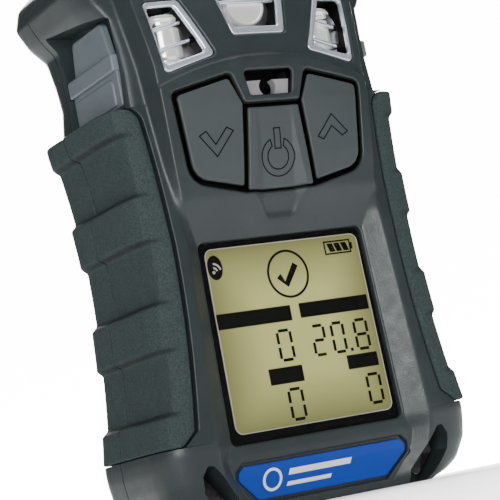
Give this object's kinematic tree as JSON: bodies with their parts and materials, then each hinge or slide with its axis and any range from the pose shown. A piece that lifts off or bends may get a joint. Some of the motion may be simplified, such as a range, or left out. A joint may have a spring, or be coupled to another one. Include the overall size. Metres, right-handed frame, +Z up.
{
  "type": "portable gas detector",
  "caption": "Handheld gas detector: charcoal case with rubber side grips, olive display, three buttons, chrome sensor ports and a sprung belt clip behind.",
  "frame": {"origin": "middle of the flat bottom face", "axes": "+X to the right seen from the front, +Y from the display to the back, +Z up from the base to the sensor ports"},
  "size_m": [0.0744, 0.0505, 0.1187],
  "materials": {
    "battery_wrap": "heat-shrink film",
    "black_plastic": "plain",
    "bright_chrome": "polished",
    "button_rubber": "satin, moulded",
    "charcoal_plastic": "fine moulded grain",
    "clear_window": "polished, clear",
    "gold_contact": "gold-plated",
    "green_board": "solder resist",
    "grey_plastic": "satin",
    "grip_rubber": "coarse matte grain",
    "label_blue": "satin printed sheet",
    "lcd_olive": "olive reflective display",
    "seal_rubber": "plain matte",
    "smoked_lens": "smoked, polished",
    "stainless_steel": "brushed",
    "white_filter": "sintered white sheet"
  },
  "bodies": {
    "housing": {"battery_pack": "battery_wrap", "case_gasket": "seal_rubber", "case_screw_1": "stainless_steel", "case_screw_2": "stainless_steel", "case_screw_3": "stainless_steel", "case_screw_4": "stainless_steel", "centre_dust_filter": "white_filter", "centre_port_grille": "bright_chrome", "charge_contact_left": "gold_contact", "charge_contact_right": "gold_contact", "clip_base": "stainless_steel", "clip_pin": "stainless_steel", "clip_screw_1": "stainless_steel", "clip_screw_2": "stainless_steel", "clip_spring": "stainless_steel", "combustible_sensor": "stainless_steel", "display_bezel": "black_plastic", "display_window": "clear_window", "down_switch": "black_plastic", "front_housing": "charcoal_plastic", "horn_buzzer": "black_plastic", "horn_insert": "grey_plastic", "key_board": "green_board", "keypad_membrane": "seal_rubber", "label_plate": "label_blue", "lcd_backlight": "white_filter", "lcd_panel": "lcd_olive", "left_cap_catch": "grey_plastic", "left_dust_filter": "white_filter", "left_front_grip": "grip_rubber", "left_port_grille": "bright_chrome", "left_rear_grip": "grip_rubber", "lower_left_alarm_lens": "smoked_lens", "lower_right_alarm_lens": "smoked_lens", "main_board": "green_board", "oxygen_sensor": "stainless_steel", "power_switch": "black_plastic", "rear_housing": "charcoal_plastic", "right_cap_catch": "grey_plastic", "right_dust_filter": "white_filter", "right_front_grip": "grip_rubber", "right_port_grille": "bright_chrome", "right_rear_grip": "grip_rubber", "sensor_board": "green_board", "toxic_sensor": "stainless_steel", "up_switch": "black_plastic", "upper_left_alarm_lens": "smoked_lens", "upper_right_alarm_lens": "smoked_lens", "vibration_motor": "stainless_steel"},
    "clip_lever": {"clip_lever": "stainless_steel"},
    "down_button": {"down_button": "button_rubber"},
    "motor_weight": {"motor_weight": "gold_contact"},
    "power_button": {"power_button": "button_rubber"},
    "up_button": {"up_button": "button_rubber"}
  },
  "joints": [
    {"name": "down_button_press", "type": "slide", "parent": "housing", "child": "down_button", "axis": [0, 1, 0], "range_m": [0, 0.0006], "stiffness_N_per_m": 400, "springref_m": -0.001},
    {"name": "power_button_press", "type": "slide", "parent": "housing", "child": "power_button", "axis": [0, 1, 0], "range_m": [0, 0.0006], "stiffness_N_per_m": 400, "springref_m": -0.001},
    {"name": "up_button_press", "type": "slide", "parent": "housing", "child": "up_button", "axis": [0, 1, 0], "range_m": [0, 0.0006], "stiffness_N_per_m": 400, "springref_m": -0.001},
    {"name": "clip_hinge", "type": "hinge", "parent": "housing", "child": "clip_lever", "pos_m": [0, 0.026, 0.0887], "axis": [1, 0, 0], "range_deg": [0, 18], "stiffness_Nm_per_rad": 0.2, "springref_deg": -17.19},
    {"name": "motor_spin", "type": "hinge", "parent": "housing", "child": "motor_weight", "pos_m": [0.014, 0.0086, 0.0707], "axis": [1, 0, 0], "continuous": true}
  ]
}
